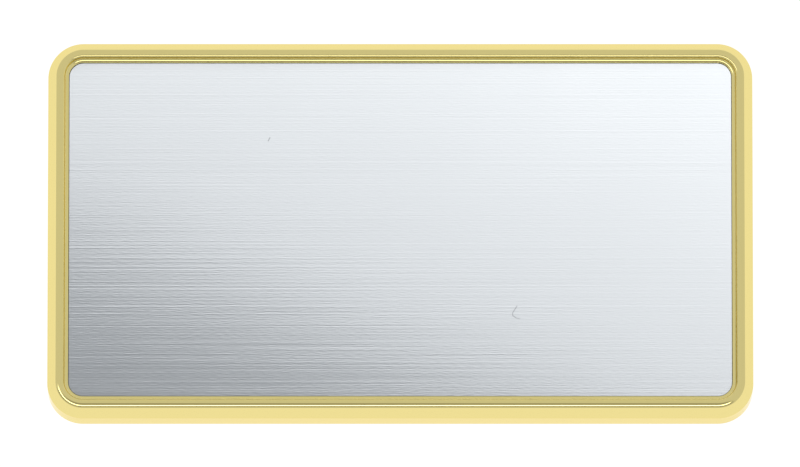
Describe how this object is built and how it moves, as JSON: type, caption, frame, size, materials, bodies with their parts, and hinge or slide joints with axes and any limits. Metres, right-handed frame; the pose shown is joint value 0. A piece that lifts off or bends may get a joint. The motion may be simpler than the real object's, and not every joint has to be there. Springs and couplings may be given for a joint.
{
  "type": "name badge",
  "caption": "Rectangular name badge: a polished gold moulded frame round a blank brushed silver face plate, with a plain magnet bar on its back.",
  "frame": {"origin": "middle of the underside of the magnet bar, on the surface that the badge lies on", "axes": "+X along the badge's length, +Y towards the top of its face, +Z out of its face"},
  "size_m": [0.081, 0.044, 0.0085],
  "materials": {
    "polished_gold": "pale gold plating, polished",
    "brushed_silver": "fine brushing along the badge's length",
    "nickel": "satin nickel plating"
  },
  "bodies": {
    "root": {"frame": "polished_gold", "face_plate": "brushed_silver", "magnet_bar": "nickel"}
  },
  "joints": []
}
